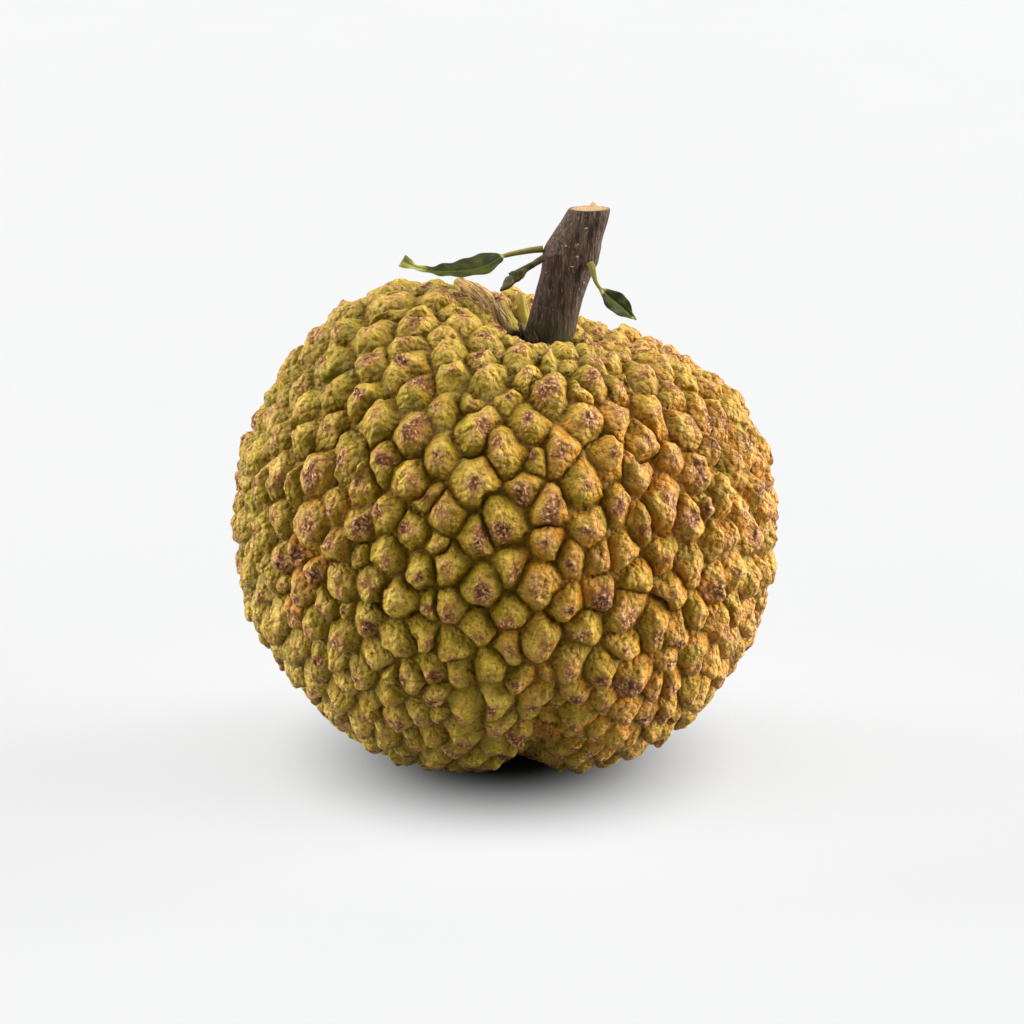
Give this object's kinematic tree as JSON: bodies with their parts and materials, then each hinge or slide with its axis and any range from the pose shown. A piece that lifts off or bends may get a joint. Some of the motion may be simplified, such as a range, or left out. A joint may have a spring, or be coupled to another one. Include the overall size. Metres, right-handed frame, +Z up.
{
  "type": "monkey jack fruit",
  "caption": "Ripe knobbly tropical fruit, as picked, with a leaning cut woody stalk, a bud twig and two small leaves; rests on its own flattened base.",
  "frame": {"origin": "on the surface it rests on, under the middle of the fruit's widest ring", "axes": "+Z up; +X the way the stalk leans; -Y the side that faces the viewer"},
  "size_m": [0.1018, 0.099, 0.1015],
  "materials": {
    "skin": "satin, waxy on the knobs, dull in the scars",
    "bark": "matt, wrinkled lengthwise",
    "twig": "matt",
    "leaf": "satin"
  },
  "bodies": {
    "root": {"fruit": "skin", "stem": "bark", "bud_twig": "twig", "leaf_left": "leaf", "leaf_right": "leaf"}
  },
  "joints": []
}
